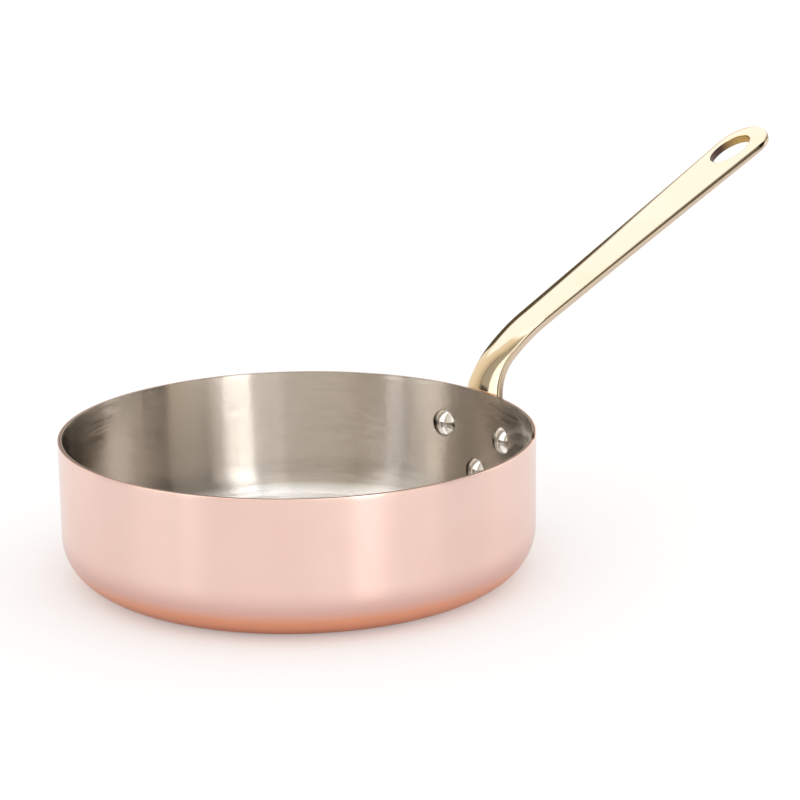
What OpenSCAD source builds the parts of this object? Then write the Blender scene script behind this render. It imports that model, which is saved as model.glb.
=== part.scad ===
/* [Pan] */
// Outer diameter of the copper wall
pan_d = 240; // [220:1:300]
// Height of the rim above the surface that the pan stands on
pan_h = 72; // [66:1:100]
// Outer radius of the round corner between floor and wall
corner_r = 23; // [12:0.5:26]
// Thickness of the copper
copper_t = 1.8; // [1.2:0.1:2.5]
// Thickness of the steel lining bonded inside the copper
lining_t = 0.2; // [0.1:0.05:0.5]
// Width of the bevel round the outer edge of the rim
rim_bevel = 0.3; // [0.1:0.05:0.6]

/* [Handle elbow] */
// How far below the rim the stem starts to bend away from the wall
bend_drop = 7.8; // [5:0.2:12]
// Radius of the lower bend along the middle of the stem
lower_bend_r = 34; // [26:1:44]
// Radius of the upper, gentler bend
upper_bend_r = 113; // [80:1:150]
// Slope where the lower bend meets the upper one, in degrees above level
mid_angle = 41; // [36:1:50]
// Width of the stem where it starts to bend
stem_w = 29; // [24:0.5:34]
// Thickness of the stem where it starts to bend
stem_t = 6; // [5.2:0.1:7.5]

/* [Handle bar] */
// Slope of the straight bar, in degrees above level
bar_angle = 26; // [18:1:34]
// Length of the straight bar, from the elbow to its end
bar_l = 193; // [150:1:230]
// Width at the narrowest place, between the stem and the bar
neck_w = 20.4; // [17:0.2:23]
// Greatest width, beside the hanging eye
head_w = 30.8; // [27:0.2:38]
// Thickness of the bar at its far end
bar_t = 5; // [4:0.1:6.5]
// Length of the rounded end
end_l = 19; // [14:0.5:26]

/* [Hanging eye] */
// Length of the oval eye
eye_l = 28.4; // [20:0.2:36]
// Width of the eye
eye_w = 17.8; // [12:0.2:20]
// Metal between the eye and the end of the bar
eye_margin = 11; // [8:0.5:16]

/* [Base plate] */
// Thickness of the plate that is riveted to the wall
plate_t = 4.5; // [3.5:0.1:5]
// Radius of each of the three round lobes
lobe_r = 11; // [9.5:0.5:12]
// Width of the plate where it meets the stem
plate_neck_w = 25; // [22:0.5:28]
// Radius of the hollow between the stem and each upper lobe
hollow_r = 8; // [6:0.5:9]

/* [Rivets] */
// Distance between the two upper rivets, measured straight across inside the pan
rivet_span = 47; // [44:0.5:54]
// Depth of the upper rivets below the rim, as a share of the upright wall
upper_rivet_share = 0.461; // [0.42:0.001:0.5]
// Depth of the lower rivet below the rim, as a share of the upright wall
lower_rivet_share = 0.922; // [0.86:0.001:0.94]
// Diameter of the shanks and of their holes
rivet_d = 7; // [5:0.5:8]
// Diameter of the heads inside the pan
inner_head_d = 15; // [12:0.2:17]
// Height of the heads inside the pan
inner_head_h = 3.9; // [2.5:0.1:5.5]
// Diameter of the heads closed over the base plate
outer_head_d = 13; // [11:0.5:15]
// Height of the heads closed over the base plate
outer_head_h = 2.2; // [1.5:0.1:3]

/* [Hidden] */
$fn = 120;

// How far a cut runs past the faces it opens
overrun = 1;
// How far the stem runs on down the plate as a fading ridge
ridge_l = 22;
// How far the face of the ridge ends up below the face of the plate
ridge_sink = 0.6;
// Share of the stem's width that the ridge loses by its foot
ridge_taper_share = 0.45;
// Fullness of the bar's section: 2 is an ellipse, and more is squarer
fullness = 2.5;
// How late the bar swells between neck and eye: 1 is a straight taper
swell_power = 1.3;
// Roundness of the bar's end seen from above, where 2 is half an ellipse
end_power = 2.2;
// Roundness of the bar's end seen from the side
edge_power = 8;
// Part of the rounded end that is reached before it closes with a small flat
end_share = 0.998;
// Turn in degrees from a rivet to the seam of a round wall
seam_turn = 140;
// Facets round the bar and steps along its stretches
bar_sides = 32;
ridge_steps = 6;
lower_bend_steps = 12;
upper_bend_steps = 5;
bar_steps = 14;
end_steps = 10;
eye_sides = 48;
arc_steps = 16;

// Radii from the pan's axis to each face that the pieces seat on
pan_r = pan_d / 2;
lining_r = pan_r - copper_t;
cavity_r = lining_r - lining_t;
plate_r = pan_r + plate_t;

// Thickness of the floor, copper and lining together
floor_t = copper_t + lining_t;

// Places of the rivets: turn round the pan's axis and height
rivet_turn = asin(rivet_span / 2 / cavity_r);
upper_rivet_z = pan_h - (pan_h - corner_r) * upper_rivet_share;
lower_rivet_z = pan_h - (pan_h - corner_r) * lower_rivet_share;

// Places in the outline of the base plate, across the pan and up
lobe_y = (pan_r + plate_t / 2) * sin(rivet_turn);
hollow_y = plate_neck_w / 2 + hollow_r;
hollow_z = upper_rivet_z + sqrt(pow(lobe_r + hollow_r, 2) - pow(hollow_y - lobe_y, 2));

// Joins along the middle of the handle, as distances from where the stem starts to bend
lower_bend_l = lower_bend_r * (90 - mid_angle) * PI / 180;
elbow_l = lower_bend_l + upper_bend_r * (mid_angle - bar_angle) * PI / 180;
handle_l = elbow_l + bar_l;
head_s = handle_l - end_l;

// The same joins as places: outward from the pan's axis, and up
stem_foot = [pan_r + stem_t / 2, pan_h - bend_drop];
bend_join = after_bend(stem_foot, 90, lower_bend_r, 90 - mid_angle);
bar_root = after_bend(bend_join, mid_angle, upper_bend_r, mid_angle - bar_angle);
eye_centre = after_run(bar_root, bar_angle, bar_l - eye_margin - eye_l / 2);

// Place reached from a start, going straight on for a length
function after_run(start, slope, l) = start + l * [cos(slope), sin(slope)];

// Place reached from a start, bending down by some degrees
function after_bend(start, slope, r, turn) =
    start + r * [sin(slope) - sin(slope - turn), cos(slope - turn) - cos(slope)];

// Points along part of a circle, from one angle to another
function arc(centre, r, from, to) =
    [for (i = [0 : arc_steps])
        let (turn = from + (to - from) * i / arc_steps)
        centre + r * [cos(turn), sin(turn)]];

// Turn in degrees over a length of bend
function turned(l, r) = l / r * 180 / PI;

// Rises smoothly from 0 to 1
function ease(u) = u <= 0 ? 0 : u >= 1 ? 1 : u * u * (3 - 2 * u);

// Falls from 1 to 0 like the quarter of a rounded square
function round_off(u, power) = pow(1 - pow(u, power), 1 / power);

// Slope of the handle's middle at the distance s
function slope_at(s) =
    s <= 0 ? 90
    : s < lower_bend_l ? 90 - turned(s, lower_bend_r)
    : s < elbow_l ? mid_angle - turned(s - lower_bend_l, upper_bend_r)
    : bar_angle;

// Depth by which the ridge on the plate has sunk at the distance s
function sunk_at(s) = (stem_t - plate_t + ridge_sink) * ease(-s / ridge_l);

// Middle of the handle at the distance s
function middle_at(s) =
    s <= 0 ? after_run(stem_foot, 90, s) - [sunk_at(s), 0]
    : s < lower_bend_l ? after_bend(stem_foot, 90, lower_bend_r, turned(s, lower_bend_r))
    : s < elbow_l ? after_bend(bend_join, mid_angle, upper_bend_r, turned(s - lower_bend_l, upper_bend_r))
    : after_run(bar_root, bar_angle, s - elbow_l);

// How far along the swelling bar the distance s is, from 0 to 1
function swell_share(s) = (s - lower_bend_l) / (head_s - lower_bend_l);

// Half the width at the distance s: stem, neck, swelling bar and rounded end
function half_width_at(s) =
    s <= 0 ? stem_w / 2 * (1 - ridge_taper_share * ease(-s / ridge_l))
    : s < lower_bend_l ? neck_w / 2 + (stem_w - neck_w) / 2 * pow(1 - s / lower_bend_l, 2)
    : s < head_s ? neck_w / 2 + (head_w - neck_w) / 2 * pow(swell_share(s), swell_power)
    : head_w / 2 * round_off((s - head_s) / end_l, end_power);

// Half the thickness at the distance s
function half_thickness_at(s) =
    s <= 0 ? stem_t / 2
    : s < head_s ? stem_t / 2 + (bar_t - stem_t) / 2 * s / head_s
    : bar_t / 2 * round_off((s - head_s) / end_l, edge_power);

// Distances of all the sections, from the foot of the ridge to the end of the bar
stations = [
    for (i = [0 : ridge_steps - 1]) -ridge_l * (1 - i / ridge_steps),
    for (i = [0 : lower_bend_steps - 1]) lower_bend_l * i / lower_bend_steps,
    for (i = [0 : upper_bend_steps - 1]) lower_bend_l + (elbow_l - lower_bend_l) * i / upper_bend_steps,
    for (i = [0 : bar_steps - 1]) elbow_l + (head_s - elbow_l) * i / bar_steps,
    for (i = [0 : end_steps]) head_s + end_l * end_share * sin(90 * i / end_steps)
];

// Squares up a sine or cosine, for a section between ellipse and rectangle
function filled_out(v) = sign(v) * pow(abs(v), 2 / fullness);

// One closed section of the bar, square to its middle
function section(s) =
    let (middle = middle_at(s), slope = slope_at(s), w = half_width_at(s), t = half_thickness_at(s))
    [for (i = [0 : bar_sides - 1])
        let (across = w * filled_out(cos(360 * i / bar_sides)), up = t * filled_out(sin(360 * i / bar_sides)))
        [middle[0] - up * sin(slope), across, middle[1] + up * cos(slope)]];

// Half outline of a filled pot: flat floor, round corner and upright wall
module filled_outline(r, floor_z, corner, top) {
    translate([0, floor_z]) square([r - corner, top - floor_z]);
    translate([0, floor_z + corner]) square([r, top - floor_z - corner]);
    translate([r - corner, floor_z + corner]) circle(r = corner);
}

// The space that the outer pot takes up when it is filled
module filled_pot() {
    rotate_extrude() filled_outline(pan_r, 0, corner_r, pan_h);
}

// The space inside the lining, up to the rim
module cavity() {
    rotate_extrude() filled_outline(cavity_r, floor_t, corner_r - floor_t, pan_h);
}

// Turns its child so that +Z points out through the wall at a rivet
module at_rivet(turn, height) {
    rotate([0, 0, turn]) translate([0, 0, height]) rotate([0, 90, 0]) children();
}

// Turns a round child so that its seam lies well away from a rivet
module seam_aside(turn = 0) {
    rotate([0, 0, turn + seam_turn]) children();
}

// The three rivet holes, right through wall and plate
module rivet_holes() {
    for (place = [[rivet_turn, upper_rivet_z], [-rivet_turn, upper_rivet_z], [0, lower_rivet_z]])
        at_rivet(place[0], place[1])
            translate([0, 0, cavity_r - overrun - plate_t])
                cylinder(d = rivet_d, h = plate_r - cavity_r + plate_t + 2 * overrun);
}

// The outer pot of solid copper
module copper_body() {
    color([0.9, 0.68, 0.6]) difference() {
        seam_aside() rotate_extrude() difference() {
            filled_outline(pan_r, 0, corner_r, pan_h);
            filled_outline(lining_r, copper_t, corner_r - copper_t, pan_h + overrun);
            translate([pan_r, pan_h]) rotate(45) square(rim_bevel * sqrt(2), center = true);
        }
        rivet_holes();
    }
}

// The thin skin of stainless steel on the inside of the copper, up to the rim
module steel_lining() {
    color([0.75, 0.74, 0.72]) difference() {
        seam_aside() rotate_extrude() difference() {
            filled_outline(lining_r, copper_t, corner_r - copper_t, pan_h);
            filled_outline(cavity_r, floor_t, corner_r - floor_t, pan_h + overrun);
        }
        rivet_holes();
    }
}

// The base plate's outline: a hollow-sided neck, two upper lobes and one lower lobe
module plate_outline() {
    lobe = [lobe_y, upper_rivet_z];
    hollow = [hollow_y, hollow_z];
    touch = atan2(lobe[1] - hollow[1], lobe[0] - hollow[0]);
    flank_turn = atan2(lower_rivet_z - upper_rivet_z, -lobe_y) + 90;
    half = concat(
        arc(hollow, hollow_r, 180, touch + 360),
        arc(lobe, lobe_r, touch + 180, flank_turn),
        arc([0, lower_rivet_z], lobe_r, flank_turn, -90)
    );
    polygon(concat(half, [for (i = [len(half) - 2 : -1 : 0]) [-half[i][0], half[i][1]]]));
}

// The base plate, curved round the wall
module base_plate() {
    intersection() {
        rotate([90, 0, 90]) linear_extrude(height = plate_r + overrun) plate_outline();
        seam_aside() cylinder(r = plate_r, h = pan_h);
    }
}

// The bar from the ridge on the plate to the rounded end, swept along its bent middle
module bar() {
    rings = [for (s = stations) section(s)];
    last = len(stations) - 1;
    around = [for (i = [0 : last - 1], j = [0 : bar_sides - 1])
        let (k = (j + 1) % bar_sides, low = i * bar_sides, high = low + bar_sides)
        each [[low + j, high + k, low + k], [low + j, high + j, high + k]]];
    foot = [for (j = [0 : bar_sides - 1]) j];
    tip = [for (j = [0 : bar_sides - 1]) (last + 1) * bar_sides - 1 - j];
    polyhedron(points = [for (ring = rings) each ring], faces = concat([foot, tip], around));
}

// The oval eye that the pan hangs by
module eye_hole() {
    translate([eye_centre[0], 0, eye_centre[1]]) rotate([0, -bar_angle, 0])
        linear_extrude(height = bar_t + 2 * overrun, center = true)
            polygon([for (i = [0 : eye_sides - 1])
                [eye_l / 2 * cos(360 * i / eye_sides), eye_w / 2 * sin(360 * i / eye_sides)]]);
}

// The cast handle: plate and bar in one, hollowed to sit on the round wall
module handle() {
    color([0.88, 0.74, 0.42]) difference() {
        union() {
            base_plate();
            bar();
        }
        seam_aside() filled_pot();
        rivet_holes();
        eye_hole();
    }
}

// A round rivet head on a short foot, with its flat side at z = 0
module round_head(d, h, foot) {
    ball_r = (d * d / 4 + h * h) / (2 * h);
    intersection() {
        translate([0, 0, h - ball_r]) sphere(r = ball_r);
        translate([0, 0, -foot]) cylinder(d = d, h = h + foot + overrun);
    }
}

// One solid rivet: head inside the pan, shank, and head closed over the plate
module rivet(turn, height) {
    inner_sag = cavity_r - sqrt(cavity_r * cavity_r - inner_head_d * inner_head_d / 4);
    outer_sag = plate_r - sqrt(plate_r * plate_r - outer_head_d * outer_head_d / 4);
    color([0.8, 0.8, 0.78]) union() {
        intersection() {
            at_rivet(turn, height) translate([0, 0, cavity_r - inner_sag]) mirror([0, 0, 1])
                round_head(inner_head_d, inner_head_h, inner_sag + overrun);
            seam_aside(turn) cavity();
        }
        at_rivet(turn, height) translate([0, 0, cavity_r - inner_sag])
            cylinder(d = rivet_d, h = plate_r - cavity_r + inner_sag + outer_head_h / 2);
        difference() {
            at_rivet(turn, height) translate([0, 0, plate_r])
                round_head(outer_head_d, outer_head_h, outer_sag + overrun);
            seam_aside(turn) cylinder(r = plate_r, h = pan_h);
        }
    }
}

module rivet_upper_left() {
    rivet(rivet_turn, upper_rivet_z);
}

module rivet_upper_right() {
    rivet(-rivet_turn, upper_rivet_z);
}

module rivet_lower() {
    rivet(0, lower_rivet_z);
}

copper_body();
steel_lining();
handle();
rivet_upper_left();
rivet_upper_right();
rivet_lower();
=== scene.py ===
import math

import bpy
from mathutils import Matrix, Vector


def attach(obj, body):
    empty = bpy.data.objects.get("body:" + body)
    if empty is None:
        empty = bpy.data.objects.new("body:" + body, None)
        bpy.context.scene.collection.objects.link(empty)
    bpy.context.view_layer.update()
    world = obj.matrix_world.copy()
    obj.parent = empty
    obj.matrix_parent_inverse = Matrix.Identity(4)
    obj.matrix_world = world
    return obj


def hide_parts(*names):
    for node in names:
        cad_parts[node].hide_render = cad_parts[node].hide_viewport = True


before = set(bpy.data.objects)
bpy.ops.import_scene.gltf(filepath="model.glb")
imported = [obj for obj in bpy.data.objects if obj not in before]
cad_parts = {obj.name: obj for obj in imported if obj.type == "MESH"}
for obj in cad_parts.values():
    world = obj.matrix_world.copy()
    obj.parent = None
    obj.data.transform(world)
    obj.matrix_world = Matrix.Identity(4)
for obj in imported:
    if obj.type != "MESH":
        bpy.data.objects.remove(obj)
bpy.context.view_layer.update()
mm = 0.001  # lengths below are written in millimetres, in the frame of the CAD model
print("frame loaded:", ", ".join(sorted(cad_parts)))


# Helpers for shapes

def ease(u):  # from 0 to 1, starting and ending softly
    u = min(max(u, 0.0), 1.0)
    return u * u * (3 - 2 * u)


def smoothMax(a, b, blend):  # the larger of two heights, with a soft change-over like a cast fillet
    return (a + b + math.sqrt((a - b) ** 2 + blend ** 2)) / 2


def arc(centre, r, start, end, steps):  # points along part of a circle, angles in degrees
    turns = [math.radians(start + (end - start) * i / steps) for i in range(steps + 1)]
    return [(centre[0] + r * math.cos(t), centre[1] + r * math.sin(t)) for t in turns]


def spread(start, end, steps):  # evenly spaced values from start up to, but not with, end
    return [start + (end - start) * i / steps for i in range(steps)]


def makeMesh(name, points, faces, sharpAngle=38):
    mesh = bpy.data.meshes.new(name)
    mesh.from_pydata([tuple(c * mm for c in p) for p in points], [], faces)
    mesh.validate()
    piece = bpy.data.objects.new(name, mesh)
    bpy.context.scene.collection.objects.link(piece)
    shadeSoftly(piece, sharpAngle)
    return piece


def shadeSoftly(piece, sharpAngle=38):  # edges that turn by more degrees than this stay crisp
    piece.data.shade_smooth()
    piece.data.set_sharp_from_angle(angle=math.radians(sharpAngle))


def joinRings(rings):  # quads between rings of equally many points, closed at both ends
    count = len(rings[0])
    points = [p for ring in rings for p in ring]
    faces = []
    for i in range(len(rings) - 1):
        for j in range(count):
            k = (j + 1) % count
            faces.append((i * count + j, (i + 1) * count + j, (i + 1) * count + k, i * count + k))
    last = (len(rings) - 1) * count
    faces += [tuple(range(count)), tuple(last + count - 1 - j for j in range(count))]
    return points, faces


def revolve(name, outline, turns):  # outline of (radius, height) pairs, from axis to axis
    points, faces, rings = [], [], []
    for r, z in outline:
        if r == 0:
            rings.append([len(points)])
            points.append((0, 0, z))
        else:
            rings.append(list(range(len(points), len(points) + turns)))
            points += [(r * math.cos(2 * math.pi * j / turns), r * math.sin(2 * math.pi * j / turns), z)
                       for j in range(turns)]
    for low, high in zip(rings, rings[1:]):
        for j in range(turns):
            k = (j + 1) % turns
            if len(low) == 1:
                faces.append((low[0], high[k], high[j]))
            elif len(high) == 1:
                faces.append((low[j], low[k], high[0]))
            else:
                faces.append((low[j], low[k], high[k], high[j]))
    return makeMesh(name, points, faces)


def cutAway(piece, cutter):  # takes cutter out of piece for good, and throws cutter away
    cut = piece.modifiers.new("cut", "BOOLEAN")
    cut.operation = "DIFFERENCE"
    cut.solver = "EXACT"
    cut.object = cutter
    graph = bpy.context.evaluated_depsgraph_get()
    made = bpy.data.meshes.new_from_object(piece.evaluated_get(graph))
    piece.modifiers.clear()
    old = piece.data
    piece.data = made
    bpy.data.meshes.remove(old)
    bpy.data.objects.remove(cutter)
    shadeSoftly(piece)


def seat(piece, node, material):
    piece.data.materials.clear()
    piece.data.materials.append(material)
    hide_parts(node)
    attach(piece, "root")
    print("made", piece.name)


# Helpers for materials

def addNode(tree, kind, place, **values):
    node = tree.nodes.new("ShaderNode" + kind)
    node.location = place
    for key, value in values.items():
        setattr(node, key, value)
    return node


def feed(tree, node, values):  # gives each named input a socket to follow, or a number or colour to hold
    for key, value in dict(values).items():
        if isinstance(value, bpy.types.NodeSocket):
            tree.links.new(value, node.inputs[key])
        else:
            node.inputs[key].default_value = value


def newMaterial(name, **values):  # values that are the same all over
    material = bpy.data.materials.new(name)
    material.use_nodes = True
    tree = material.node_tree
    feed(tree, tree.nodes["Principled BSDF"], values)
    return material, tree, tree.nodes["Principled BSDF"]


def newGroup(name, inputs, outputs):  # inputs are (name, kind, value) and outputs (name, kind)
    tree = bpy.data.node_groups.new(name, "ShaderNodeTree")
    for socketName, kind, value in inputs:
        socket = tree.interface.new_socket(socketName, in_out="INPUT", socket_type="NodeSocket" + kind)
        socket.default_value = value
    for socketName, kind in outputs:
        tree.interface.new_socket(socketName, in_out="OUTPUT", socket_type="NodeSocket" + kind)
    start, end = tree.nodes.new("NodeGroupInput"), tree.nodes.new("NodeGroupOutput")
    start.location, end.location = (-900, 0), (1300, 0)
    return tree, start.outputs, end


def placeGroup(tree, group, place, values):
    node = addNode(tree, "Group", place, node_tree=group)
    feed(tree, node, values)
    return node.outputs


def numberMath(tree, operation, place, *values, **options):  # each of values is a socket or a number
    node = addNode(tree, "Math", place, operation=operation, **options)
    feed(tree, node, enumerate(values))
    return node.outputs[0]


def vectorMath(tree, operation, place, *values):
    node = addNode(tree, "VectorMath", place, operation=operation)
    feed(tree, node, zip((0, "Scale") if operation == "SCALE" else (0, 1), values))
    return node.outputs["Value" if operation == "LENGTH" else "Vector"]


def spreadRange(tree, source, low, high, place, fromLow=0.0, fromHigh=1.0):
    node = addNode(tree, "MapRange", place)
    names = ("Value", "From Min", "From Max", "To Min", "To Max")
    feed(tree, node, zip(names, (source, fromLow, fromHigh, low, high)))
    return node.outputs["Result"]


def mix(tree, factor, first, second, place, kind="RGBA"):  # first and second are sockets, colours or numbers
    node = addNode(tree, "Mix", place, data_type=kind)
    feed(tree, node, {"Factor": factor, "A": first, "B": second})
    return node.outputs["Result"]


def addNoise(tree, spot, place, kind="3D", **values):
    node = addNode(tree, "TexNoise", place, noise_dimensions=kind)
    feed(tree, node, {"Vector": spot, **values})
    return node.outputs["Fac"]


def ownSpot(tree, place):  # where a point of the piece lies, in metres in the frame of the CAD model
    return addNode(tree, "TexCoord", place).outputs["Object"]


def splitAxes(tree, spot, place):
    node = addNode(tree, "SeparateXYZ", place)
    tree.links.new(spot, node.inputs[0])
    return node.outputs["X"], node.outputs["Y"], node.outputs["Z"]


# Copper pot and steel lining: both turned about the pan's axis

pot = {
    "rimDiameter": 240,
    "height": 72,
    "cornerRadius": 23,
    "copper": 1.8,
    "lining": 0.2,
    "outerBevel": 0.3,     # rounding of the rim's outer edge
    "innerBevel": 0.12,    # the same inside, on the lining
    "turns": 288,          # steps round the pan
    "floorRings": (0, 0.12, 0.3, 0.5, 0.7, 0.88),  # where the flat has rings, as shares of its radius
    "cornerSteps": 24,
    "wallSteps": 20,
    "bondSteps": 6,        # up the wall where copper and steel meet, which is never seen
    "bevelSteps": (5, 4),  # on the outer and the inner bevel
}

panR = pot["rimDiameter"] / 2
liningR = panR - pot["copper"]
cavityR = liningR - pot["lining"]


def wallOutline(r, floor, top, wallSteps):  # from the axis along the floor, up the corner and wall
    cornerTop = pot["cornerRadius"]
    centre = panR - cornerTop
    flat = [(centre * share, floor) for share in pot["floorRings"]]
    corner = arc((centre, cornerTop), r - centre, -90, 0, pot["cornerSteps"])
    wall = [(r, cornerTop + (top - cornerTop) * i / wallSteps) for i in range(1, wallSteps + 1)]
    return flat + corner + wall


def makePot():
    top, bevel = pot["height"], pot["outerBevel"]
    outside = wallOutline(panR, 0, top - bevel, pot["wallSteps"])
    edge = arc((panR - bevel, top - bevel), bevel, 0, 90, pot["bevelSteps"][0])
    bond = wallOutline(liningR, pot["copper"], top, pot["bondSteps"])
    return revolve("copperBody", outside + edge[1:] + bond[::-1], pot["turns"])


def makeLining():
    top, bevel = pot["height"], pot["innerBevel"]
    bond = wallOutline(liningR, pot["copper"], top, pot["bondSteps"])
    edge = arc((cavityR + bevel, top - bevel), bevel, 90, 180, pot["bevelSteps"][1])
    inside = wallOutline(cavityR, pot["copper"] + pot["lining"], top - bevel, pot["wallSteps"])
    return revolve("steelLining", bond + edge[:-1] + inside[::-1], pot["turns"])


# Handle: one unbroken skin of rings, from the foot of the base plate to the end of the bar

handle = {
    "stemWidth": 29,
    "stemThickness": 6,
    "neckWidth": 20.4,
    "headWidth": 30.8,
    "tipThickness": 5,
    "bendDrop": 7.8,      # how far below the rim the stem starts to bend away
    "lowerBend": 34,
    "upperBend": 113,
    "midSlope": 41,       # slope where the two bends meet
    "barSlope": 26,
    "barLength": 192.96,
    "endLength": 19,
    "stemCrown": 1.9,     # how much the upper face rises from its edges to its middle
    "headCrown": 1.15,
    "stemRound": 1.4,     # rounding of the edges of the upper face
    "headRound": 2.3,
    "underRound": 0.8,    # the same on the underside
    "roundedWidth": 12,   # where the bar is narrower than this, crown and roundings shrink with it
    "fullness": 2.5,      # section of the ridge: 2 is an ellipse, more is squarer
    "swell": 1.3,         # how late the bar widens: 1 is evenly from neck to head
    "endRound": 2.2,      # the rounded end seen from above: 2 is an ellipse, more is squarer
    "edgeRound": 8,       # the same seen from the side
    "endReach": 0.996,    # share of the rounded end's length at which its last ring lies
    "ridgeLength": 22,    # ridge that runs down the base plate below the stem
    "ridgeSink": 0.6,
    "ridgeTaper": 0.45,
    "ridgeFall": 3,       # how steeply its height falls off beside it
    "fillet": 1.4,        # softness where ridge and plate meet
    "blendReach": 5,      # how far above and below its foot the stem takes over from the plate
    "plateThickness": 4.5,
    "plateNeck": 25,
    "plateEdge": 1.1,     # rounding of the plate's outer edge
    "lobeRadius": 11,
    "hollowRadius": 8,
    "footStart": -88,     # degrees on the lowest lobe where the plate's outline starts
    "wallGap": 0.02,      # between plate and wall
    "rimMargin": 1,       # how far above the rim the handle still keeps that gap
    "eyeLength": 28.4,
    "eyeWidth": 17.8,
    "eyeMargin": 11,
    "eyeLip": 0.9,        # rounding where the eye meets the faces of the bar
    "eyeCrown": 0.12,     # how far the bar's face stands above its edge there
    "eyeSteps": 96,
    "outlineStep": 0.9,   # between rings on the plate's arcs
    "flankSteps": 30,     # steps between its lowest lobe and an upper one
    "ringCounts": (14, 16, 60, 34),  # on the lower bend, upper bend, bar and rounded end
}

rivets = {
    "span": 47,           # between the upper two, straight across
    "upperDepth": 0.461,  # below the rim, as a share of the upright wall
    "lowerDepth": 0.922,
    "shank": 7,
    "innerHead": 15,
    "innerDome": 3.9,
    "outerHead": 13,
    "outerDome": 2.2,
    "footHeight": 0.12,   # upright edge at the foot of each head
    "footInset": 0.1,     # how far the foot turns in below it
    "sink": 0.05,         # how deep the foot goes into what it rests on
    "least": 0.02,        # the smallest ring, and how far inside a head's edge its dome ends
    "sharpAngle": 50,
    "turns": 64,
    "domeSteps": (18, 14),  # rings on the inner and the outer head
}

plateR = panR + handle["plateThickness"]
rivetTurn = math.asin(rivets["span"] / 2 / cavityR)
upperRivetZ = pot["height"] - (pot["height"] - pot["cornerRadius"]) * rivets["upperDepth"]
lowerRivetZ = pot["height"] - (pot["height"] - pot["cornerRadius"]) * rivets["lowerDepth"]
lowerBendLength = handle["lowerBend"] * math.radians(90 - handle["midSlope"])
elbowLength = lowerBendLength + handle["upperBend"] * math.radians(handle["midSlope"] - handle["barSlope"])
handleLength = elbowLength + handle["barLength"]
headStart = handleLength - handle["endLength"]


def afterBend(start, slope, r, turn):  # place reached by bending down through some degrees
    a, b = math.radians(slope), math.radians(slope - turn)
    return start[0] + r * (math.sin(a) - math.sin(b)), start[1] + r * (math.cos(b) - math.cos(a))


stemFoot = (panR + handle["stemThickness"] / 2, pot["height"] - handle["bendDrop"])
bendJoin = afterBend(stemFoot, 90, handle["lowerBend"], 90 - handle["midSlope"])
barRoot = afterBend(bendJoin, handle["midSlope"], handle["upperBend"],
                    handle["midSlope"] - handle["barSlope"])


def slopeAt(s):  # slope in degrees at a length s along the handle, counted from the stem's foot
    if s <= 0:
        return 90.0
    if s < lowerBendLength:
        return 90 - math.degrees(s / handle["lowerBend"])
    if s < elbowLength:
        return handle["midSlope"] - math.degrees((s - lowerBendLength) / handle["upperBend"])
    return handle["barSlope"]


def middleAt(s):  # the middle line: outward from the pan's axis, and up
    if s <= 0:
        depth = handle["stemThickness"] - handle["plateThickness"] + handle["ridgeSink"]
        return stemFoot[0] - depth * ease(-s / handle["ridgeLength"]), stemFoot[1] + s
    if s < lowerBendLength:
        return afterBend(stemFoot, 90, handle["lowerBend"], 90 - slopeAt(s))
    if s < elbowLength:
        return afterBend(bendJoin, handle["midSlope"], handle["upperBend"], handle["midSlope"] - slopeAt(s))
    run, slope = s - elbowLength, math.radians(handle["barSlope"])
    return barRoot[0] + run * math.cos(slope), barRoot[1] + run * math.sin(slope)


def roundOff(u, power):  # falls from 1 to 0 like a quarter of an oval, squarer at a higher power
    return max(0.0, 1 - min(max(u, 0.0), 1.0) ** power) ** (1 / power)


def halfWidthAt(s):
    stem, neck, head = handle["stemWidth"] / 2, handle["neckWidth"] / 2, handle["headWidth"] / 2
    if s <= 0:
        return stem * (1 - handle["ridgeTaper"] * ease(-s / handle["ridgeLength"]))
    if s < lowerBendLength:
        return neck + (stem - neck) * (1 - s / lowerBendLength) ** 2
    if s < headStart:
        share = (s - lowerBendLength) / (headStart - lowerBendLength)
        return neck + (head - neck) * share ** handle["swell"]
    return head * roundOff((s - headStart) / handle["endLength"], handle["endRound"])


def halfThicknessAt(s):
    stem, tip = handle["stemThickness"] / 2, handle["tipThickness"] / 2
    if s < headStart:
        return stem + (tip - stem) * max(s, 0) / headStart
    return tip * roundOff((s - headStart) / handle["endLength"], handle["edgeRound"])


faceSteps, backSteps, sideSteps = 18, 18, 5  # points across half the face, half the underside, a side
topRoundSteps, underRoundSteps = 10, 5       # how many of the first two lie on the roundings


def halfSection(s):  # right half of the bar's section: crowned upper face, side and underside
    w, t = halfWidthAt(s), halfThicknessAt(s)
    k = min(1.0, t / (handle["tipThickness"] / 2), w / (handle["roundedWidth"] / 2))
    on = ease(s / headStart)
    crown = handle["stemCrown"] + (handle["headCrown"] - handle["stemCrown"]) * on
    top = handle["stemRound"] + (handle["headRound"] - handle["stemRound"]) * on
    crown, top, under = crown * k, top * k, handle["underRound"] * k
    lean = math.atan(2 * crown / w)
    faceEnd = w - top * (1 - math.sin(lean))
    flat, back = faceSteps - topRoundSteps, backSteps - underRoundSteps
    face = [(faceEnd * i / flat, t - crown * (faceEnd * i / flat / w) ** 2) for i in range(flat)]
    centre = w - top, t - crown * (faceEnd / w) ** 2 - top * math.cos(lean)
    face += arc(centre, top, 90 - math.degrees(lean), 0, topRoundSteps)
    low = under - t
    side = [(w, centre[1] + (low - centre[1]) * i / (sideSteps + 1)) for i in range(1, sideSteps + 1)]
    below = arc((w - under, low), under, 0, -90, underRoundSteps)
    below += [((w - under) * (1 - i / back), -t) for i in range(1, back + 1)]
    return face, side, below


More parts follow.
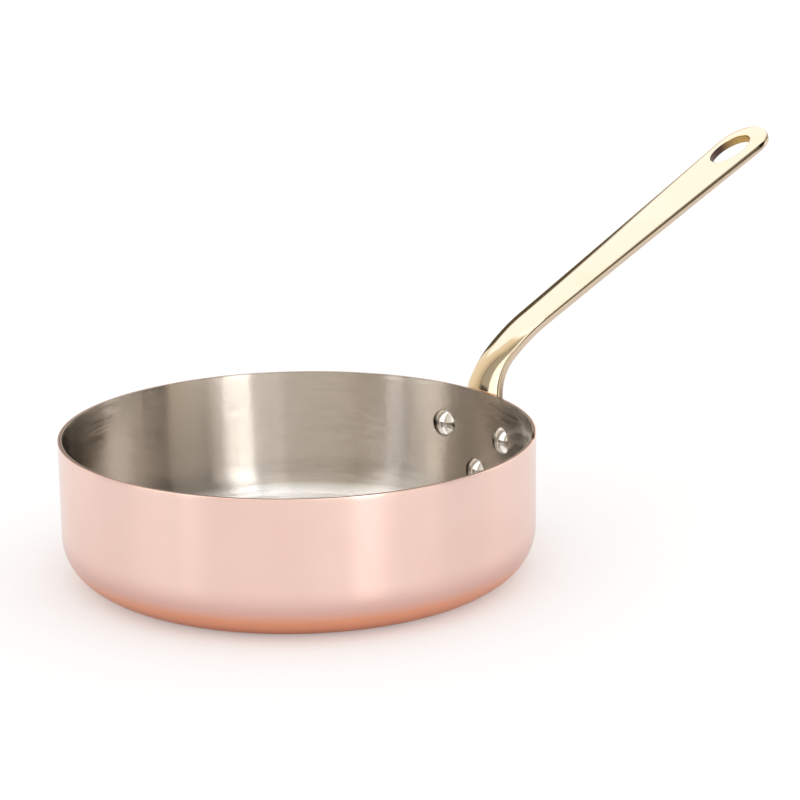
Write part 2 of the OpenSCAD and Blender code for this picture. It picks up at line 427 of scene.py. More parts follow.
def barRing(s):  # one section of the bar, square to its middle line
    x, z = middleAt(s)
    slope = math.radians(slopeAt(s))
    face, side, below = halfSection(s)
    right = face[1:] + side + below[:-1]
    places = [(-y, up) for y, up in face[:0:-1]] + face[:1] + right + below[-1:]
    places += [(-y, up) for y, up in (side + below[:-1])[::-1]]
    return [(x - up * math.sin(slope), across, z + up * math.cos(slope)) for across, up in places]


finishAndShadeMarks = {
    "polishEarly": 3,   # how many of the plate's last rings are polished like the stem
    "lineEarly": 4,     # how many of them have the painted dark line, a painted reflection, along the upper face's edge
    "lineStart": 2,     # point of a ring, counted from that edge, where the line starts
    "lineEnd": (9, 6),  # and where it ends, on the stem and on the bar
}


def markFinishAndShade(piece, rings, plateRings, bendRings):  # marks the satin sides, darkened as painted shade, and the painted dark line along the upper face's edge
    around, last = len(rings[0]), 2 * faceSteps
    paintedShade = plateRings - finishAndShadeMarks["polishEarly"]
    satinAndShade, lines = [], []
    for i in range(paintedShade):
        satinAndShade += [(i / plateRings) ** 2] * around
    satinAndShade += ([1.0] + [0.0] * (last - 1) + [1.0] * (around - last)) * (len(rings) - paintedShade)
    onStem, onBar = finishAndShadeMarks["lineEnd"]
    for i in range(len(rings)):
        line = [0.0] * around
        bend = min(max((i - plateRings) / bendRings, 0), 1)
        if i >= plateRings - finishAndShadeMarks["lineEarly"]:
            for k in range(finishAndShadeMarks["lineStart"], round(onStem + (onBar - onStem) * bend)):
                line[k] = line[last - k] = 1.0
        lines += line
    for name, values in (("satinShadedSide", satinAndShade), ("paintedDarkLine", lines)):
        marks = piece.data.attributes.new(name, "FLOAT", "POINT")
        marks.data.foreach_set("value", values)


def plateOutline():  # right half of the plate's outline, from foot to neck, with its outward directions
    lobe = ((panR + handle["plateThickness"] / 2) * math.sin(rivetTurn), upperRivetZ)
    foot = (0.0, lowerRivetZ)
    hollowY = handle["plateNeck"] / 2 + handle["hollowRadius"]
    reach = handle["lobeRadius"] + handle["hollowRadius"]
    hollow = (hollowY, lobe[1] + math.sqrt(reach ** 2 - (hollowY - lobe[0]) ** 2))
    flank = math.degrees(math.atan2(lobe[1] - foot[1], lobe[0])) - 90
    touch = math.degrees(math.atan2(hollow[1] - lobe[1], hollow[0] - lobe[0]))
    r, places = handle["lobeRadius"], []

    def addArc(centre, radius, start, end, sign):
        steps = max(2, round(abs(math.radians(end - start)) * radius / handle["outlineStep"]))
        for i, place in enumerate(arc(centre, radius, start, end, steps)):
            turn = math.radians(start + (end - start) * i / steps)
            places.append((place, (sign * math.cos(turn), sign * math.sin(turn))))

    addArc(foot, r, handle["footStart"], flank, 1)
    start, way = places[-1]
    end = (start[0] + lobe[0], start[1] + lobe[1] - foot[1])
    for i in range(1, handle["flankSteps"]):
        share = i / handle["flankSteps"]
        places.append(((start[0] + (end[0] - start[0]) * share, start[1] + (end[1] - start[1]) * share), way))
    addArc(lobe, r, flank, touch, 1)
    places.pop()
    addArc(hollow, handle["hollowRadius"], touch + 180, 180, -1)
    return places


def ridgeHeight(y, z):  # how far the stem's outer face stands off the wall
    s = min(z - stemFoot[1], 0.0)
    w = halfWidthAt(s)
    x = middleAt(s)[0] + halfThicknessAt(s) * roundOff(abs(y) / w, handle["fullness"])
    return math.hypot(x, y) - panR - handle["ridgeFall"] * max(0.0, abs(y) / w - 1)


def faceHeight(y, z):
    depth = 5  # of the ridge's height below the plate's face, well beside the ridge
    lift = handle["fillet"] ** 2 / (4 * depth)  # what the soft change-over adds there
    return smoothMax(handle["plateThickness"], ridgeHeight(y, z), handle["fillet"]) - lift


def wallRadius(z, inset=0.0):  # radius of the pot's side at a height, which the round corner draws in
    centre, corner = panR - pot["cornerRadius"], pot["cornerRadius"]
    fall = min(max(corner - z, 0.0), corner - inset)
    return centre + math.sqrt((corner - inset) ** 2 - fall ** 2)


def onWall(y, z, height):
    r = (panR if height else wallRadius(z)) + handle["wallGap"] + height
    return math.sqrt(r * r - y * y), y, z


def plateRing(edge, way, share, startZ, endZ):  # one ring of the base plate, whose sides lie on its outline
    r = handle["plateEdge"]
    inner = (edge[0] - way[0] * r, edge[1] - way[1] * r)
    faceZ = startZ + r + (endZ - startZ - r) * share
    backZ = startZ + (endZ - startZ) * share
    height = faceHeight(inner[0], inner[1])
    wallSide = []
    for i in range(-faceSteps, faceSteps + 1):
        q = i / faceSteps
        wallSide.append(onWall(edge[0] * q, backZ + (edge[1] - backZ) * q * q, 0))
    left, right = [], []
    for side, sign in ((right, 1), (left, -1)):
        side.append(onWall(sign * edge[0], edge[1], (height - r) / 2))
        for turn in (90, 67.5, 45, 22.5):  # round the edge, in degrees
            out, drop = r * math.sin(math.radians(turn)), r * (1 - math.cos(math.radians(turn)))
            side.append(onWall(sign * (inner[0] + way[0] * out), inner[1] + way[1] * out, height - drop))
    outside = []
    for i in range(backSteps, -backSteps - 1, -1):
        q = i / backSteps
        y, z = inner[0] * q, faceZ + (inner[1] - faceZ) * q * q
        outside.append(onWall(y, z, faceHeight(y, z)))
    return wallSide + right + outside + left[::-1]


def makeHandle():
    outline = plateOutline()
    lengths = [0.0]
    for (a, _), (b, _) in zip(outline, outline[1:]):
        lengths.append(lengths[-1] + math.dist(a, b))
    blendReach = handle["blendReach"]
    startZ, endZ = outline[0][0][1], stemFoot[1] + blendReach
    rings = []
    for (edge, way), length in zip(outline, lengths):
        share = length / lengths[-1]
        plate = plateRing(edge, way, share, startZ, endZ)
        s = startZ + (endZ - startZ) * share - stemFoot[1]
        weight = ease((s + blendReach) / (2 * blendReach))
        stem = barRing(s) if weight > 0 else plate
        rings.append([tuple(a + (b - a) * weight for a, b in zip(p, q)) for p, q in zip(plate, stem)])
    lower, upper, bar, end = handle["ringCounts"]
    bends = spread(blendReach, lowerBendLength, lower)[1:] + spread(lowerBendLength, elbowLength, upper)
    reach = handle["endLength"] * handle["endReach"]
    ends = [headStart + reach * math.sin(math.pi / 2 * i / end) for i in range(end + 1)]
    rings += [barRing(s) for s in bends + spread(elbowLength, headStart, bar) + ends]
    points, faces = joinRings(rings)
    clear = []
    for x, y, z in points:  # nothing reaches into the wall
        r, least = math.hypot(x, y), wallRadius(z) + handle["wallGap"]
        k = least / r if r < least and z < pot["height"] + handle["rimMargin"] else 1
        clear.append((x * k, y * k, z))
    piece = makeMesh("brassHandle", clear, faces)
    markFinishAndShade(piece, rings, len(outline), len(bends))
    cutAway(piece, eyeCutter())
    return piece


eyeRun = handleLength - elbowLength - handle["eyeMargin"] - handle["eyeLength"] / 2
eyeSlope = math.radians(handle["barSlope"])
eyeX, eyeZ = barRoot[0] + eyeRun * math.cos(eyeSlope), barRoot[1] + eyeRun * math.sin(eyeSlope)


def eyeCutter():  # an oval plug that flares where it leaves the two faces, which rounds the eye's lips
    lip, half = handle["eyeLip"], handle["tipThickness"] / 2 + handle["eyeCrown"]
    past, flare = 0.5, 1.2  # how far the plug goes on past the lips, and how much it widens there
    heights = [(half + past, lip + flare)]
    for degrees in (80, 66, 52, 38, 24, 12, 0):
        turn = math.radians(degrees)
        heights.append((half - lip + lip * math.sin(turn), lip * (1 - math.cos(turn))))
    heights += [(-h, grow) for h, grow in heights[::-1]]
    rings = []
    for up, grow in heights:
        a, b = handle["eyeLength"] / 2 + grow, handle["eyeWidth"] / 2 + grow
        ring = []
        for i in range(handle["eyeSteps"]):
            turn = 2 * math.pi * i / handle["eyeSteps"]
            along, across = a * math.cos(turn), b * math.sin(turn)
            ring.append((eyeX + along * math.cos(eyeSlope) - up * math.sin(eyeSlope), across,
                         eyeZ + along * math.sin(eyeSlope) + up * math.cos(eyeSlope)))
        rings.append(ring)
    return makeMesh("eyeCutter", *joinRings(rings))


def dome(d, h, steps):  # (radius, drop) pairs from the top of a dome out to its edge
    ballR = (d * d / 4 + h * h) / (2 * h)
    reach = math.asin(min(1, (d / 2 - rivets["least"]) / ballR))
    return [(ballR * math.sin(reach * i / steps), ballR * (1 - math.cos(reach * i / steps)))
            for i in range(steps + 1)]


def makeRivet(name, turn, height):  # dome inside the pan, shank, and flatter dome over the base plate
    innerR, outerR, shankR = rivets["innerHead"] / 2, rivets["outerHead"] / 2, rivets["shank"] / 2
    foot, inset, sink = rivets["footHeight"], rivets["footInset"], rivets["sink"]
    innerSteps, outerSteps = rivets["domeSteps"]
    innerSag = cavityR - math.sqrt(cavityR ** 2 - rivets["innerHead"] ** 2 / 4)
    innerTop = cavityR - innerSag - rivets["innerDome"]
    outerTop = plateR + rivets["outerDome"]
    inner = dome(rivets["innerHead"], rivets["innerDome"], innerSteps)
    outer = dome(rivets["outerHead"], rivets["outerDome"], outerSteps)
    profile = [(rho, innerTop + drop, None) for rho, drop in inner]  # radius, place along x, what it sits on
    profile += [
        (innerR, -foot, "cavity"), (innerR - inset, sink, "cavity"), (shankR, sink, "cavity"),
        (shankR, -sink, "plate"), (outerR - inset, -sink, "plate"), (outerR, foot, "plate"),
    ]
    profile += [(rho, outerTop - drop, None) for rho, drop in outer[::-1]]
    rings = []
    for rho, x, seatedOn in profile:
        rho = max(rho, rivets["least"])
        ring = []
        for i in range(rivets["turns"]):
            a = 2 * math.pi * i / rivets["turns"]
            y, z = rho * math.cos(a), rho * math.sin(a)
            out = x
            if seatedOn:
                r = plateR if seatedOn == "plate" else wallRadius(height + z, pot["copper"] + pot["lining"])
                out = math.sqrt((r + x) ** 2 - y * y)
            ring.append((out * math.cos(turn) - y * math.sin(turn),
                         out * math.sin(turn) + y * math.cos(turn), height + z))
        rings.append(ring)
    return makeMesh(name, *joinRings(rings), rivets["sharpAngle"])


# Finishes

def makeRingLines():  # fine lines brushed round the pan's axis, on floor, corner and wall alike
    tree, given, end = newGroup(
        "ringLines",
        [("Lines per mm", "Float", 2), ("Reach", "Float", 5), ("Seed", "Float", 0),
         ("Tilt", "Float", 0.02), ("Hair Tilt", "Float", 0.1)],
        [("Streaks", "Float"), ("Normal", "Vector")],
    )
    spot = ownSpot(tree, (-1100, 300))
    flat = vectorMath(tree, "MULTIPLY", (-700, 400), spot, (1, 1, 0))
    way = vectorMath(tree, "NORMALIZE", (-500, 400), flat)
    radius = vectorMath(tree, "LENGTH", (-500, 250), flat)
    height = splitAxes(tree, spot, (-700, 150))[2]
    run = numberMath(tree, "ADD", (-300, 200), radius, height)  # grows along floor, corner and wall
    perMetre = numberMath(tree, "MULTIPLY", (-500, 0), given["Lines per mm"], 1 / mm)
    layers = []
    for reachShare, lineShare, row in ((1, 1, 200), (90, 16, -200)):  # the lines, and far finer hair in them
        reach = numberMath(tree, "MULTIPLY", (-300, row - 100), given["Reach"], reachShare)
        around = vectorMath(tree, "SCALE", (-100, row), way, reach)
        density = numberMath(tree, "MULTIPLY", (-100, row - 200), perMetre, lineShare)
        stack = addNode(tree, "CombineXYZ", (200, row - 200))
        feed(tree, stack, {"Z": numberMath(tree, "MULTIPLY", (50, row - 200), run, density)})
        streaks = vectorMath(tree, "ADD", (300, row), around, stack.outputs[0])
        layers.append(addNoise(tree, streaks, (480, row), "4D", W=given["Seed"], Scale=1, Detail=3))
    surface = addNode(tree, "NewGeometry", (-500, 700)).outputs["Normal"]
    along = vectorMath(tree, "CROSS_PRODUCT", (-300, 600), (0, 0, 1), way)
    across = vectorMath(tree, "CROSS_PRODUCT", (-100, 600), along, surface)
    leans = []
    for layer, tilt, row in ((layers[0], "Tilt", 400), (layers[1], "Hair Tilt", 550)):
        scatter = spreadRange(tree, layer, -4, 4, (650, row))  # about a unit either way
        leans.append(numberMath(tree, "MULTIPLY", (800, row), scatter, given[tilt]))
    lean = numberMath(tree, "ADD", (950, 450), *leans)
    leaning = vectorMath(tree, "SCALE", (950, 600), across, lean)
    tilted = vectorMath(tree, "ADD", (1100, 700), surface, leaning)
    normal = vectorMath(tree, "NORMALIZE", (1100, 550), tilted)
    feed(tree, end, {"Streaks": layers[0], "Normal": normal})
    return tree


def makeCloudTone():  # soft patches that drift between two close colours
    tree, given, end = newGroup(
        "cloudTone",
        [("Light", "Color", (0.9, 0.9, 0.9, 1)), ("Dark", "Color", (0.8, 0.8, 0.8, 1)),
         ("Patches per m", "Float", 20), ("Contrast", "Float", 2)],
        [("Color", "Color"), ("Mask", "Float")],
    )
    noise = addNoise(tree, ownSpot(tree, (-700, 200)), (-400, 200), Scale=given["Patches per m"],
                     Detail=4, Distortion=0.6)
    centred = numberMath(tree, "SUBTRACT", (-200, 200), noise, 0.5)
    mask = numberMath(tree, "MULTIPLY_ADD", (0, 200), centred, given["Contrast"], 0.5, use_clamp=True)
    feed(tree, end, {"Color": mix(tree, mask, given["Light"], given["Dark"], (300, 0)), "Mask": mask})
    return tree


def makeHairScratches():  # sparse hairlines in two directions, as handling leaves on polished metal
    tree, given, end = newGroup(
        "hairScratches",
        [("Scratches per m", "Float", 60), ("Amount", "Float", 0.5)],
        [("Mask", "Float")],
    )
    level, widest = 0.56, 0.012  # a scratch lies where the noise is near this level, which keeps it thin
    spot = ownSpot(tree, (-900, 200))
    width = numberMath(tree, "MULTIPLY", (-300, -200), given["Amount"], widest)
    masks = []
    for turn, stretch, row in (((0.4, 0.2, 0.5), (1, 14, 5), 200), ((-0.3, 0.5, 2.0), (1, 11, 7), 0)):
        turned = addNode(tree, "Mapping", (-700, row))
        feed(tree, turned, {"Vector": spot, "Rotation": turn, "Scale": stretch})
        noise = addNoise(tree, turned.outputs[0], (-500, row), Scale=given["Scratches per m"], Detail=1)
        masks.append(numberMath(tree, "COMPARE", (-300, row), noise, level, width))
    feed(tree, end, {"Mask": numberMath(tree, "MAXIMUM", (0, 100), *masks)})
    return tree


ringLines = makeRingLines()
cloudTone = makeCloudTone()
hairScratches = makeHairScratches()
print("finishes made")


def placeTone(tree, look):
    return placeGroup(tree, cloudTone, (-1300, 300), {
        "Light": look["light"], "Dark": look["dark"],
        "Patches per m": look["patchesPerM"], "Contrast": look["patchContrast"],
    })


def placeScratches(tree, look):
    values = {"Scratches per m": look["scratchesPerM"], "Amount": look["scratchAmount"]}
    return placeGroup(tree, hairScratches, (-900, -50), values)["Mask"]


def addDents(tree, shader, look):  # shallow unevenness all over
    noise = addNoise(tree, ownSpot(tree, (-900, -300)), (-700, -300),
                     Scale=look["dentsPerM"], Detail=look["dentDetail"])
    bump = addNode(tree, "Bump", (-400, -300))
    feed(tree, bump, {"Height": noise, "Strength": 1, "Distance": look["dentDepth"] * mm})
    feed(tree, shader, {"Normal": bump.outputs[0]})


def tintBands(tree, height, colour, look, bands):  # each band is full up to one height and ends at another
    for i, band in enumerate(bands):
        full, none = look[band + "Top"]
        share = spreadRange(tree, height, 1, 0, (-900, 700 - 180 * i), full * mm, none * mm)
        colour = mix(tree, share, colour, look[band], (-700 + 200 * i, 300))
    return colour


brushFinish = {
    "rimStart": 71.55,         # height in millimetres above which the rim is turned smooth and not brushed
    "rimEnd": 71.75,
    "rimRoughness": 0.07,
    "streakSpan": (0.3, 0.7),  # values between which the lines' noise mostly stays
    "turn": 0.25,              # a quarter turn stretches the gloss across the lines
}


def brushRound(tree, shader, look):  # brushed round the pan's axis, with a smooth rim; returns the lines
    height = splitAxes(tree, ownSpot(tree, (-1700, -600)), (-1500, -600))[2]
    low, high = brushFinish["rimStart"] * mm, brushFinish["rimEnd"] * mm
    rim = spreadRange(tree, height, 0, 1, (-1300, -600), low, high)
    lines = placeGroup(tree, ringLines, (-900, -300), {
        "Lines per mm": look["linesPerMm"], "Seed": look["seed"],
        "Tilt": spreadRange(tree, rim, look["lineTilt"], 0, (-1100, -600)),
        "Hair Tilt": spreadRange(tree, rim, look["hairTilt"], 0, (-1100, -850)),
    })
    gloss = spreadRange(tree, lines["Streaks"], *look["roughness"], (-400, 0), *brushFinish["streakSpan"])
    feed(tree, shader, {
        "Roughness": mix(tree, rim, gloss, brushFinish["rimRoughness"], (-200, 0), "FLOAT"),
        "Normal": lines["Normal"],
        "Anisotropic": look["brushing"],
        "Anisotropic Rotation": brushFinish["turn"],
        "Tangent": addNode(tree, "Tangent", (-200, -500), direction_type="RADIAL", axis="Z").outputs[0],
    })
    return lines["Streaks"]


copperLook = {
    "light": (0.955, 0.70, 0.62, 1),
    "dark": (0.93, 0.655, 0.575, 1),
    "patchesPerM": 22,
    "patchContrast": 2.2,
    "paintedShade": (0.80, 0.53, 0.47, 1),     # painted shade: the corner darkened as the mirrored shadow of the floor beside the pan
    "paintedShadeTop": (17, 27),               # heights in millimetres where that is full, and where it ends
    "paintedFloorReflection": (0.90, 0.47, 0.31, 1),  # the warmer tone by the base: a painted reflection of the shadowed floor, lit orange by the copper
    "paintedFloorReflectionTop": (11, 16),
    "seam": (0.13, 0.05, 0.04, 1),     # dark band in the rim's top, beside the steel
    "seamWidth": 1.2,
    "seamSoftness": 0.05,
    "seamFade": (71.6, 71.7),          # heights where it starts, and where it is full
    "roughness": (0.18, 0.22),
    "brushing": 0.9,
    "linesPerMm": 2.5,
    "lineTilt": 0.006,   # how far the visible lines lean the surface, in radians
    "hairTilt": 0.06,    # the same for the fine hair in them, which smears reflections up and down
    "seed": 3,
}


def makeCopper():
    material, tree, shader = newMaterial("satinCopper", Metallic=1)
    spot = ownSpot(tree, (-1300, 0))
    height = splitAxes(tree, spot, (-1100, 0))[2]
    # darker tones low on the copper: painted shade on the corner, and below it a painted reflection of the
    # shadowed floor
    colour = tintBands(tree, height, placeTone(tree, copperLook)["Color"], copperLook, ("paintedShade", "paintedFloorReflection"))
    outward = vectorMath(tree, "MULTIPLY", (-1100, 500), spot, (1, 1, 0))
    radius = vectorMath(tree, "LENGTH", (-900, 500), outward)
    # a dark band in the rim's top, along the steel
    seamEnd, soft = liningR + copperLook["seamWidth"], copperLook["seamSoftness"]
    inRimBand = spreadRange(tree, radius, 1, 0, (-700, 500), (seamEnd - soft) * mm, (seamEnd + soft) * mm)
    low, high = copperLook["seamFade"]
    onRim = spreadRange(tree, height, 0, 1, (-700, 700), low * mm, high * mm)
    seam = numberMath(tree, "MULTIPLY", (-500, 600), inRimBand, onRim)
    feed(tree, shader, {"Base Color": mix(tree, seam, colour, copperLook["seam"], (-200, 300))})
    brushRound(tree, shader, copperLook)
    return material


steelLook = {
    "light": (0.615, 0.565, 0.515, 1),
    "dark": (0.56, 0.515, 0.465, 1),
    "patchesPerM": 16,
    "patchContrast": 2,
    "streak": (0.49, 0.45, 0.405, 1),
    "streakSpan": (0.45, 0.75),        # noise of the lines where a streak starts, and where it is full
    "streakShare": 0.6,
    "corner": (0.46, 0.425, 0.39, 1),  # the bottom corner, which is darker
    "cornerTop": (16, 24),             # heights in millimetres where that is full, and where it ends
    "floor": (0.97, 0.965, 0.96, 1),   # the floor and its edge, lightened almost to white as a painted highlight
    "floorTop": (5.5, 10.5),
    "roughness": (0.14, 0.18),
    "brushing": 1.0,
    "linesPerMm": 1.1,
    "lineTilt": 0.08,
    "hairTilt": 0.37,
    "seed": 1,
}


def makeLiningSteel():
    material, tree, shader = newMaterial("brushedSteel", Metallic=1)
    lines = brushRound(tree, shader, steelLook)
    streaks = spreadRange(tree, lines, 0, steelLook["streakShare"], (-1100, 100), *steelLook["streakSpan"])
    tone = placeTone(tree, steelLook)["Color"]
    colour = mix(tree, streaks, tone, steelLook["streak"], (-900, 300))
    height = splitAxes(tree, ownSpot(tree, (-1300, 600)), (-1100, 600))[2]
    # the lining darkens at the corner, and its floor is lightened as a painted highlight
    feed(tree, shader, {"Base Color": tintBands(tree, height, colour, steelLook, ("corner", "floor"))})
    return material


brassLook = {
    "light": (0.87, 0.78, 0.615, 1),
    "dark": (0.85, 0.745, 0.57, 1),
    "patchesPerM": 30,
    "patchContrast": 2,
    "roughness": (0.04, 0.075),
    "scratchesPerM": 70,
    "scratchAmount": 0.5,
    "scratchRoughness": 0.16,
    "satinAndShade": (0.73, 0.59, 0.46, 1),   # the sides and underside: a satin grain, and a darker colour that is painted shade
    "satinRoughness": 0.3,
    "edge": (0.15, 0.115, 0.07, 1),   # painted reflection: the dark line along the edge of the upper face
    "paintedLineShare": 0.9,
    "eye": ((0.11, 0.065, 0.05, 1), (0.56, 0.36, 0.13, 1)),  # its unpolished wall: painted shade at the foot end, a painted golden-brown reflection at the far end
    "eyeFade": (0.1, 0.9),            # where one turns into the other, on the way to its far end
    "eyeReach": (1.01, 1.04),         # where the unpolished metal ends, on the way outward
    "eyeRoughness": 0.35,
    "dentsPerM": 26,     # the faint unevenness that hand polishing leaves on a casting
    "dentDetail": 1,
    "dentDepth": 0.05,
}


def makeBrass():
    material, tree, shader = newMaterial("castBrass", Metallic=1)
    tone = placeTone(tree, brassLook)
    # the satin sides and underside, whose darker colour is painted shade
    satinAndShade, edge = [
        addNode(tree, "Attribute", (-1500, row), attribute_name=name).outputs["Fac"]
        for name, row in (("satinShadedSide", 600), ("paintedDarkLine", 450))
    ]
    local = addNode(tree, "Mapping", (-1500, 200), vector_type="TEXTURE")  # the eye goes from -1 to 1
    feed(tree, local, {
        "Vector": ownSpot(tree, (-1700, 200)),
        "Location": (eyeX * mm, 0, eyeZ * mm),
        "Rotation": (0, -eyeSlope, 0),
        "Scale": (handle["eyeLength"] / 2 * mm, handle["eyeWidth"] / 2 * mm, 1),
    })
    flat = vectorMath(tree, "MULTIPLY", (-1300, 200), local.outputs[0], (1, 1, 0))
    fromEye = vectorMath(tree, "LENGTH", (-1100, 200), flat)
    # the eye's wall, coloured with painted shade and a painted reflection
    inEye = spreadRange(tree, fromEye, 1, 0, (-900, 600), *brassLook["eyeReach"])
    along = splitAxes(tree, local.outputs[0], (-1100, 50))[0]
    eyeShare = spreadRange(tree, along, 0, 1, (-900, 50), *brassLook["eyeFade"])
    # painted reflection: the dark line along the upper face's edge
    paintedLineShare = spreadRange(tree, edge, 0, brassLook["paintedLineShare"], (-700, 700))
    colour = tone["Color"]
    for i, (share, coat) in enumerate((
        (satinAndShade, brassLook["satinAndShade"]),
        (paintedLineShare, brassLook["edge"]),
        (inEye, mix(tree, eyeShare, *brassLook["eye"], (-700, 50))),
    )):
        colour = mix(tree, share, colour, coat, (-700 + 200 * i, 500))
    gloss = spreadRange(tree, tone["Mask"], *brassLook["roughness"], (-900, 100))
    for i, (share, key) in enumerate((
        (placeScratches(tree, brassLook), "scratchRoughness"),
        (satinAndShade, "satinRoughness"),
        (inEye, "eyeRoughness"),
    )):
        gloss = mix(tree, share, gloss, brassLook[key], (-600 + 200 * i, -50), "FLOAT")
    feed(tree, shader, {"Base Color": colour, "Roughness": gloss})
    addDents(tree, shader, brassLook)
    return material


rivetLook = {
    "light": (0.78, 0.76, 0.75, 1),
    "dark": (0.70, 0.68, 0.67, 1),
    "patchesPerM": 180,
    "patchContrast": 2,
    "roughness": (0.06, 0.13),
    "scratchesPerM": 260,
    "scratchAmount": 0.8,
    "dentsPerM": 240,    # shallow marks of the riveting set
    "dentDetail": 2,
    "dentDepth": 0.035,
}


def makeRivetSteel():
    material, tree, shader = newMaterial("rivetSteel", Metallic=1)
    gloss = spreadRange(tree, placeScratches(tree, rivetLook), *rivetLook["roughness"], (-500, 0))
    feed(tree, shader, {"Base Color": placeTone(tree, rivetLook)["Color"], "Roughness": gloss})
    addDents(tree, shader, rivetLook)
    return material


seat(makePot(), "copper_body", makeCopper())
seat(makeLining(), "steel_lining", makeLiningSteel())
seat(makeHandle(), "handle", makeBrass())
rivetSteel = makeRivetSteel()
for name, node, turn, height in (
    ("rivetUpperLeft", "rivet_upper_left", rivetTurn, upperRivetZ),
    ("rivetUpperRight", "rivet_upper_right", -rivetTurn, upperRivetZ),
    ("rivetLower", "rivet_lower", 0, lowerRivetZ),
):
    seat(makeRivet(name, turn, height), node, rivetSteel)


# Camera, floor and studio

view = {
    "place": (-688.6, -940.9, 395.6),  # millimetres
    "heading": 38.738,  # degrees clockwise from +Y
    "pitch": 14.851,    # degrees below level
    "roll": -0.544,
    "lens": 108,
    "sight": 50,        # metres that the camera sees
}
cameraData = bpy.data.cameras.new("camera")
cameraData.lens = view["lens"]
cameraData.clip_end = view["sight"]
camera = bpy.data.objects.new("camera", cameraData)
bpy.context.scene.collection.objects.link(camera)
camera.matrix_world = (
    Matrix.Translation(Vector(view["place"]) * mm)
    @ Matrix.Rotation(math.radians(-view["heading"]), 4, "Z")
    @ Matrix.Rotation(math.radians(90 - view["pitch"]), 4, "X")
    @ Matrix.Rotation(math.radians(view["roll"]), 4, "Z")
)
bpy.context.scene.camera = camera
bpy.context.scene.view_settings.view_transform = "Standard"

stageLook = {
    "size": 12,             # metres across the floor
    "gap": 0.2,             # millimetres between the pan's base and the floor
    "floorTone": 0.93,
    "floorRoughness": 0.7,
    "shadowShare": 0.72,    # how strongly the floor shows the pan's shadow
    "floorGlow": 0.32,      # plain white added for the camera alone, which keeps the background white
}


def grey(level):
    return level, level, level, 1


def makeFloor():
    half, low = stageLook["size"] / 2, -stageLook["gap"] * mm
    mesh = bpy.data.meshes.new("floor")
    corners = [(-half, -half, low), (half, -half, low), (half, half, low), (-half, half, low)]
    mesh.from_pydata(corners, [], [(0, 1, 2, 3)])
    floor = bpy.data.objects.new("floor", mesh)
    bpy.context.scene.collection.objects.link(floor)
    material, tree, shader = newMaterial("paleFloor", Roughness=stageLook["floorRoughness"])
    byCamera = addNode(tree, "LightPath", (-700, 200)).outputs["Is Camera Ray"]
    tones = grey(stageLook["floorTone"]), grey(stageLook["shadowShare"])
    feed(tree, shader, {
        "Base Color": mix(tree, byCamera, *tones, (-400, 200)),
        "Specular IOR Level": 0,
        "Emission Color": grey(1),
        "Emission Strength": spreadRange(tree, byCamera, 0, stageLook["floorGlow"], (-400, -100)),
    })
    mesh.materials.append(material)


# The studio as polished metal sees it. Its walls are a round of (azimuth, brightness, warmth), the azimuth in
# degrees from the camera's side, positive to the camera's right. The brightest is a tall strip light.
studio = {
    "walls": (
        (-180, 1.0, 1), (-142, 1.0, 1), (-116, 0.9, 2), (-104, 0.6, 2), (-96, 0.08, 1),
        (-83, 0.08, 1), (-80, 1.5, 0.6), (-73, 1.4, 0.4), (-64, 1.8, 0.4), (-55, 1.0, 0.4),
        (-52, 2.4, 0.3), (-46, 2.2, 0.4), (-43, 0.9, 1.2), (-33, 0.6, 1.6), (-24, 0.95, 1.2),
        (8, 1.0, 0.9), (12, 1.4, 0.7), (26, 1.5, 0.6), (28, 4.7, 0.1), (40, 4.7, 0.1),
        (42, 2.4, 0.4), (50, 1.5, 0.9), (64, 1.6, 1.5), (70, 1.4, 1.5), (73, 0.1, 1),
        (96, 0.05, 1), (105, 1.6, 0.8), (114, 1.6, 0.8), (119, 1.0, 1), (160, 1.0, 1),
    ),
    "ceiling": 1.45,
    "skyline": (  # elevation in degrees where the ceiling light starts, over the same azimuths
        (-180, 60), (-125, 60), (-105, 86), (-66, 86), (-54, 74), (22, 74), (26, 48),
        (42, 48), (46, 74), (54, 74), (66, 86), (110, 86), (130, 60),
    ),
    "panels": (  # brightness, warmth, azimuth of the middle, half the width, lowest and highest elevation
        (1.25, 0.0, 180, 52, 28, 90),  # broad light behind the pan
        (0.1, 3.0, -158, 11, 5, 27),   # dark gap below it, beyond the handle
        (0.45, 1.5, -90, 9, 9, 80),    # grey curtain on the left
        (0.5, 1.0, 61, 12, 14, 80),    # grey flag on the right
    ),
    "edge": 0.03,       # softness of their outlines
    "warmTint": (0.08, 0.19),  # shares of green and blue that each unit of warmth takes away
}


def litColour(level, warmth=0.0):
    green, blue = studio["warmTint"]
    return level, level * (1 - green * warmth), level * (1 - blue * warmth), 1


def addRound(tree, share, stops, place):  # colours at azimuths in degrees, blended between them
    ramp = addNode(tree, "ValToRGB", place)
    marks = ramp.color_ramp.elements
    marks.remove(marks[1])
    for i, (degrees, colour) in enumerate(stops):
        mark = marks[0] if i == 0 else marks.new(degrees / 360 + 0.5)
        mark.position = degrees / 360 + 0.5
        mark.color = colour
    tree.links.new(share, ramp.inputs[0])
    return ramp.outputs["Color"]


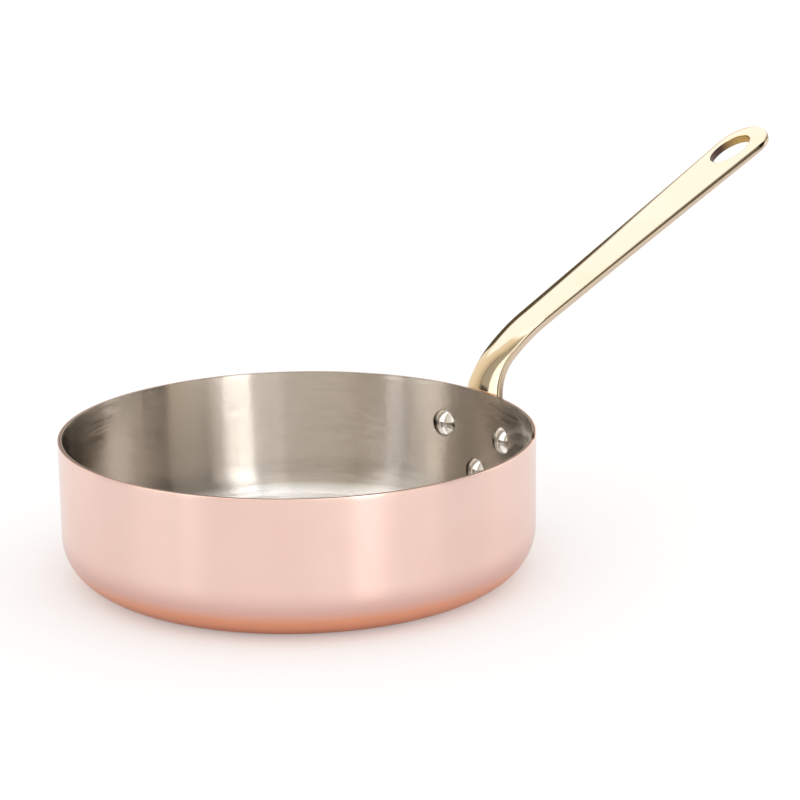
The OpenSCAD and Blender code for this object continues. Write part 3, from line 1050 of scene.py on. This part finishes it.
def makePanelMask():  # 1 inside a panel of the studio, 0 outside it, angles in radians
    sizes = ("Azimuth", "Height", "Middle", "Half Width", "Low", "High", "Edge")
    tree, given, end = newGroup("panelMask", [(size, "Float", 0.0) for size in sizes], [("Mask", "Float")])
    off = numberMath(tree, "SUBTRACT", (-700, 100), given["Azimuth"], given["Middle"])
    around = numberMath(tree, "WRAP", (-500, 100), off, math.pi, -math.pi)
    aside = numberMath(tree, "ABSOLUTE", (-300, 100), around)
    for row, (larger, smaller) in enumerate((
        (given["Half Width"], aside),
        (given["Height"], given["Low"]),
        (given["High"], given["Height"]),
    )):
        level = 100 - 200 * row
        inward = numberMath(tree, "SUBTRACT", (-100, level), larger, smaller)
        soft = numberMath(tree, "DIVIDE", (100, level), inward, given["Edge"])
        within = numberMath(tree, "ADD", (300, level), soft, 0.5, use_clamp=True)
        mask = numberMath(tree, "MULTIPLY", (500, level), mask, within) if row else within
    feed(tree, end, {"Mask": mask})
    return tree


def makeStudio():
    world = bpy.data.worlds.new("studio")
    bpy.context.scene.world = world
    world.use_nodes = True
    tree = world.node_tree
    turned = addNode(tree, "VectorRotate", (-1500, 0), rotation_type="Z_AXIS")
    place = addNode(tree, "TexCoord", (-1700, 0)).outputs["Generated"]
    feed(tree, turned, {"Vector": place, "Angle": math.radians(view["heading"])})
    right, ahead, up = splitAxes(tree, turned.outputs[0], (-1300, 0))
    back = numberMath(tree, "MULTIPLY", (-1100, -100), ahead, -1)
    azimuth = numberMath(tree, "ARCTAN2", (-900, 0), right, back)
    share = spreadRange(tree, azimuth, 0, 1, (-700, 0), -math.pi, math.pi)
    lights = [(degrees, litColour(*light)) for degrees, *light in studio["walls"]]
    walls = addRound(tree, share, lights, (-500, 0))
    heights = [(degrees, math.sin(math.radians(height))) for degrees, height in studio["skyline"]]
    skyline = addRound(tree, share, [(degrees, grey(height)) for degrees, height in heights], (-500, -300))
    above = numberMath(tree, "SUBTRACT", (-400, -500), up, skyline)
    edge = studio["edge"]
    lit = spreadRange(tree, above, 0, 1, (-300, -500), -edge, edge)
    room = mix(tree, lit, walls, litColour(studio["ceiling"]), (-200, 0))
    height = numberMath(tree, "ARCSINE", (-1100, -300), up)
    panelMask = makePanelMask()
    for i, (level, warmth, *angles) in enumerate(studio["panels"]):
        sizes = dict(zip(("Middle", "Half Width", "Low", "High"), map(math.radians, angles)))
        panel = placeGroup(tree, panelMask, (-500, -700 - 250 * i), {
            "Azimuth": azimuth, "Height": height, "Edge": 2 * edge, **sizes,
        })
        room = mix(tree, panel["Mask"], room, litColour(level, warmth), (-50 + 150 * i, -300))
    byGloss = addNode(tree, "LightPath", (-100, 300)).outputs["Is Glossy Ray"]
    feed(tree, tree.nodes["Background"], {"Color": mix(tree, byGloss, grey(1), room, (100, 100))})


makeFloor()
makeStudio()
print("camera, floor and studio set")
